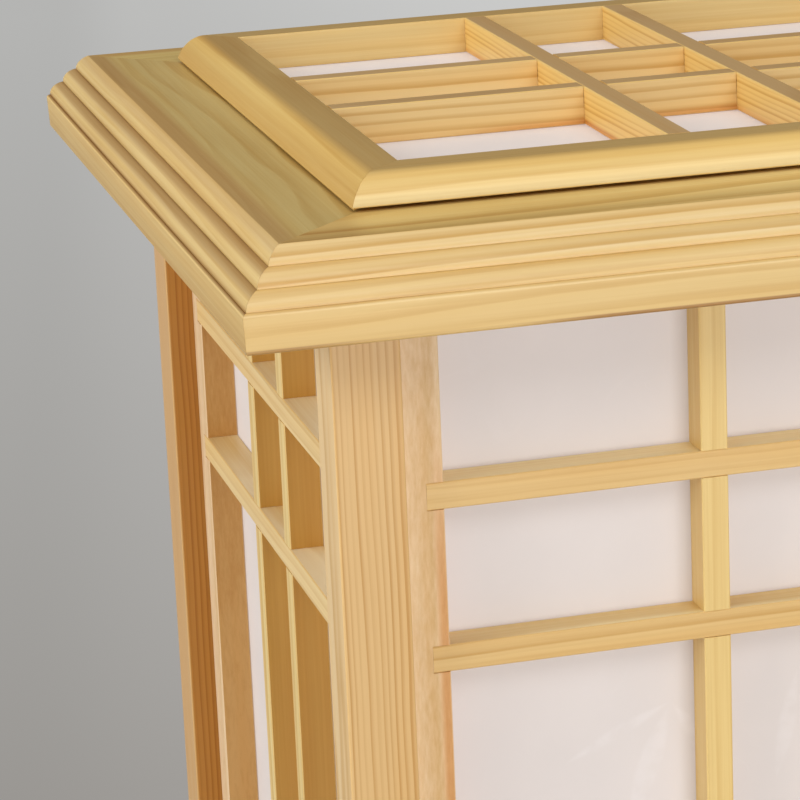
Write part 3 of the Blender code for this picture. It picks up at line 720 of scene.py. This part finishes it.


# Parchment: one sheet of mulberry paper wrapped round behind the panels, glued to the bars, with a spray
# of leaves brushed on each side in a white that hardly shows. It glows faintly, a painted light that evens
# its shading.
def parchment(name, body, painted_glow, leaves=()):
    """Mulberry paper: thin fibres are the contour lines of a soft noise, and the pulp is faintly cloudy.
    The sheet emits its colour times the glow as painted light, which evens its shading.
    A leaf is given by its foot, its tip and its half width: a point at share t of the way from foot to
    tip is on it when its distance to the midrib is less than the half width times 4 t (1 - t)."""
    made, wire = new_finish(name)
    place = wire.node("ShaderNodeTexCoord", {}, {}, "Object")

    def noise(scale, detail, bend=0.0):
        return wire.node("ShaderNodeTexNoise", {}, {
            "Vector": place, "Scale": scale, "Detail": detail, "Distortion": bend})

    pulp = noise(34.0, 4.0)
    long_fibre = abs(noise(21.0, 0.0, 1.2) - 0.5).rise(0.006, 0.0) * noise(60.0, 0.0).rise(0.5, 0.62)
    fine_fibre = abs(noise(85.0, 0.0, 2.0) - 0.5).rise(0.012, 0.0) * noise(130.0, 0.0).rise(0.5, 0.65)
    fibres = long_fibre * 0.08 + fine_fibre * 0.1
    sheet = pulp.rise(0.3, 0.7).blend(np.multiply(body, 0.985), np.multiply(body, 1.015))
    white = np.minimum(np.multiply(body, (1.08, 1.10, 1.12)), 0.95)
    if leaves:
        split = wire.node("ShaderNodeSeparateXYZ", {}, {0: place})
        x, y, z = (split.out(axis) for axis in "XYZ")
        front = (abs(y) - abs(x)).rise(-0.0001, 0.0001)
        round_sheet = (1 - front) * x.math("SIGN") * y - front * y.math("SIGN") * x
        brush = noise(210.0, 2.0).rise(0.25, 0.65)
        spray = 0.0
        for foot, tip, half in leaves:
            reach = np.subtract(tip, foot)
            length = float(np.hypot(*reach))
            ds, dz = (reach / length).tolist()
            t = (round_sheet * ds + z * dz - (foot[0] * ds + foot[1] * dz)) / length
            off = abs(z * ds - round_sheet * dz - (foot[1] * ds - foot[0] * dz))
            spray = (t * (1 - t) * (4 * half) - off).rise(-0.0003, 0.0012) + spray
        sheet = (spray.held() * brush * 0.5).blend(sheet, white)
    colour = fibres.math("MINIMUM", 1.0).blend(sheet, white)
    height = wire.node("ShaderNodeBump", {}, {"Strength": 0.15, "Distance": 0.0002, "Height": pulp + fibres})
    return lay(made, wire.node("ShaderNodeBsdfPrincipled", {}, {
        "Base Color": colour, "Roughness": 0.62 + pulp * 0.1, "Normal": height, "Specular IOR Level": 0.3,
        "Emission Color": colour, "Emission Strength": painted_glow}))


# Each leaf's foot and tip, along the side from its middle and down from the sheet's head; its half width.
LEAVES = (
    ((-0.0290, 0.1217), (-0.0570, 0.1347), 0.0020),
    ((-0.0295, 0.1232), (-0.0405, 0.1527), 0.0034),
    ((-0.0285, 0.1222), (-0.0120, 0.1457), 0.0030),
    ((0.0050, 0.1177), (-0.0010, 0.1467), 0.0026),
    ((0.0060, 0.1177), (0.0330, 0.1327), 0.0026),
    ((-0.0060, 0.1737), (-0.0400, 0.1877), 0.0030),
    ((-0.0050, 0.1747), (-0.0220, 0.2087), 0.0034),
    ((-0.0040, 0.1737), (0.0180, 0.2027), 0.0032),
    ((-0.0030, 0.1727), (0.0310, 0.1817), 0.0026),
)
sheet_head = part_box("paper_lining")[1].z
wrap_leaves = [((foot[0], sheet_head - foot[1]), (tip[0], sheet_head - tip[1]), half)
               for foot, tip, half in LEAVES]
dress("paper_lining", parchment("parchment_wrap", (0.56, 0.51, 0.492), 0.37, wrap_leaves))

# Cap: four pine mouldings like the base's, mitred and glued over the heads of the posts, with a square
# opening in the middle for the lid. The flat deck is flat-sawn; the faces that look up carry a tint of
# painted shade, warmer on the front.
cap_low, cap_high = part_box("cap_front")
housing = sheet_head + SEAT_GAP
FASCIA_EASE = 0.0004
cap_profile, cap_wear_and_shading = ease(np.vstack((
    beads(flat_edge, cap_high.z),
    [(band - FASCIA_OUT, cap_high.z - beads_drop), (band, cap_high.z - beads_drop - FASCIA_OUT),
     (band - FASCIA_DRAW, cap_low.z + FASCIA_EASE), (band - FASCIA_DRAW - FASCIA_EASE, cap_low.z),
     (post_face + SEAT_GAP, cap_low.z), (post_face + SEAT_GAP, housing), (-cap_high.y, housing),
     (-cap_high.y, cap_high.z)],
)), EDGE_EASE)
steps_out = (cap_profile[:, 0] - flat_edge) / BEAD_RUN
steps_down = (cap_high.z - cap_profile[:, 1]) / BEAD_DROP
# Painted shade along with stain: the hollow tint is thinner in the upper hollows, painted shade spreads
# over the inner half of the two lower beads and is thickest in the groove above the fascia, and painted
# shade is laid again along the fascia's lower edge, which is turned down from the light.
UPPER_STAIN_AND_SHADE = 0.65
BEAD_SHADE = 0.45
EDGE_SHADE = 0.6
EDGE_REACH = 0.001
upper_hollows = (cap_wear_and_shading < 0) & (steps_down < 2.5)
lower_beads = (steps_out > 0.98) & (steps_out < 2.9) & (steps_down < 2.98)
inner_half = np.clip(2.2 - 3.2 * ((steps_out + 0.02) % 1), 0, 1)
groove = (steps_down > 2.9) & (steps_down < 3.03)
fascia_foot = cap_profile[:, 1] < cap_low.z + EDGE_REACH
cap_wear_and_shading = np.where(upper_hollows, UPPER_STAIN_AND_SHADE * cap_wear_and_shading, cap_wear_and_shading) - BEAD_SHADE * lower_beads * inner_half
cap_wear_and_shading = np.where(groove, -1.0, cap_wear_and_shading)
cap_wear_and_shading = np.where(fascia_foot, -EDGE_SHADE, cap_wear_and_shading)
cap_bodies = ((0.735, 0.522, 0.22), (0.72, 0.49, 0.185), (0.73, 0.50, 0.185), (0.68, 0.465, 0.185))
# The front deck darkens towards its outer edge and its left end, and pales to the right; the others darken
# in a narrow band at the outer edge.
front_margins = (("out", flat_edge - 0.0141, flat_edge - 0.0011, (0.74, 0.70, 0.62)),
                 ("X", 0.0256 - flat_edge, 0.0166 - flat_edge, (0.89, 0.84, 0.78)),
                 ("X", -0.09, 0.02, (1.15, 1.22, 1.42)))
other_margins = (("out", flat_edge - 0.0071, flat_edge - 0.0028, (0.82, 0.69, 0.62)),)
# A band of painted shade along the fascia's lower edge on the front and back.
lower_edge_shade = ("Z", cap_low.z + 0.0012, cap_low.z + 0.0008, (0.57, 0.44, 0.35))
# On the three other sides the outer faces get painted light and the hollows a darker painted shade; every
# side gets a painted highlight on the bead slopes.
for k, side in enumerate(sides):
    pith = (outward[k] * 0.100, cap_high.z + 0.05)
    dull = side != "front"
    finish = pine(f"cap_{side}_pine", runs[k], cap_bodies[k], pith, ring=0.0021 if dull else 0.0036,
                  shift=1.9 * k + 1, figure=0.45 if dull else 0.85, fibre=0.4,
                  top_shading=(0.88, 0.95, 0.85) if dull else (1.03, 1.0, 0.78),
                  margins=other_margins if dull else front_margins,
                  crest=(0.97, 1.0, 1.15) if dull else (0.96, 0.985, 1.08),
                  streak_and_shade=lower_edge_shade if runs[k] == "X" else None,
                  flank_shading=[("X", (1.2, 1.25, 1.14))] if dull else [],
                  hollow_stain_and_shade=(0.5, 0.39, 0.27) if dull else (0.88, 0.79, 0.6))
    piece(f"cap_moulding_{side}", *mitred_run(cap_profile, k), finish, "lamp", "pine_cap", f"cap_{side}",
          wear_and_shading=np.repeat(cap_wear_and_shading, RUN_STEPS))

# Lid rails: four pine rails with a rounded outer edge, mitred and glued. They rest on the deck on a strip
# set back under the edge, and a tongue drops into the cap's opening.
rail_low, rail_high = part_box("lid_rail_front")
lid_edge, lid_opening = -rail_low.y, -rail_high.y
deck = cap_high.z
ROUND_RUN = 0.0056
ROUND_DROP = 0.0071
ROUND_SLOPES = (38.0, 76.0)
ROUND_POINTS = 22
SHOULDER_RUN = 0.0016
SHOULDER_END = 6
SHOULDER_POINTS = 9
UNDERCUT = 0.0002
RELIEFS = (0.001, 0.0006, 0.0006, 0.0006)
RELIEF_W = 0.008
LID_PLAY = 0.0005
TONGUE_W = 0.0019
tongue_out = -cap_high.y - LID_PLAY
tongue_in = tongue_out - TONGUE_W
rail_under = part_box("lid_bar_deep_1")[0].z
out, down = arc(*ROUND_SLOPES, ROUND_POINTS)
slope = np.column_stack((lid_edge - ROUND_RUN * (1 - out), rail_high.z - ROUND_DROP * down))
# The shoulder is a parabola from the flat to the round that eases the corner where they meet.
t = np.linspace(0.0, 1.0, SHOULDER_POINTS)[:, None]
shoulder = ((1 - t) ** 2 * (slope[0] - (SHOULDER_RUN, 0.0)) + 2 * t * (1 - t) * slope[0]
            + t ** 2 * slope[SHOULDER_END])


def rail(relief):
    """The rail's profile with its outer edge lifted off the deck by the relief."""
    return ease(np.vstack((
        [(lid_opening, rail_high.z)],
        shoulder, slope[SHOULDER_END + 1:],
        [(lid_edge - UNDERCUT, deck + relief), (lid_edge - RELIEF_W, deck + relief),
         (lid_edge - RELIEF_W, deck + SEAT_GAP), (tongue_out, deck + SEAT_GAP), (tongue_out, rail_low.z),
         (tongue_in, rail_low.z), (tongue_in, rail_under), (lid_opening, rail_under)],
    )), EDGE_EASE)


lid_body = (0.72, 0.49, 0.158)
# Painted shade on the rails' up-facing faces; painted light on the front and back rails' faces that look
# forward, and painted shade on the left rail's side.
lid_flank_shading = ([("-Y", (1.09, 1.23, 1.72))], [], [("-Y", (1.22, 1.36, 1.85))], [("-X", (0.87, 0.85, 0.86))])
for k, side in enumerate(sides):
    pith = (outward[k] * 0.098, rail_high.z + 0.05)
    finish = pine(f"lid_{side}_pine", runs[k], lid_body, pith, ring=0.0034, shift=2.3 * k + 4, figure=0.35,
                  fibre=0.36, top_shading=(0.74, 0.725, 0.76), level=0.84, flank_shading=lid_flank_shading[k])
    rail_profile, rail_wear_and_shading = rail(RELIEFS[k])
    piece(f"lid_round_{side}", *mitred_run(rail_profile, k), finish, "lid", "pine_lid", f"lid_rail_{side}",
          wear_and_shading=np.repeat(rail_wear_and_shading, RUN_STEPS))

# Lid bars: two pine bars each way, half-lapped into each other and butted between the rails. The bars
# that run front to back are quarter-sawn, with close dark lines on their sides.
lid_bar_body = (0.74, 0.495, 0.16)
for n in (1, 2):
    for kind, run in (("across", "X"), ("deep", "Y")):
        low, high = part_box(f"lid_bar_{kind}_{n}")
        middle = (low + high) / 2
        pith = ((middle.y if run == "X" else middle.x), middle.z + 0.08)
        # Painted shade on the bars' tops and along their foot by the sheet; painted light on their sides.
        dress(f"lid_bar_{kind}_{n}", pine(
            f"lid_bar_{kind}_{n}_pine", run, lid_bar_body, pith, ring=0.0030 if run == "X" else 0.0016,
            shift=1.4 * n + (run == "Y"), figure=1.0 if run == "X" else 1.15, top_shading=(0.74, 0.69, 0.84),
            streak_and_shade=("Z", low.z + 0.0024, low.z + 0.0006, (0.80, 0.50, 0.24)),
            flank_shading=[("Y", (1.2, 1.29, 1.72)), ("X", (1.05, 1.02, 0.96))], eased="normals"))

# Lid sheet: a square of the same paper glued under the lid's bars and inside the tongue, seen through the
# lid's nine openings.
# Its painted glow is a little stronger than the wrap's.
dress("lid_sheet", parchment("parchment_lid", (0.61, 0.56, 0.55), 0.42))
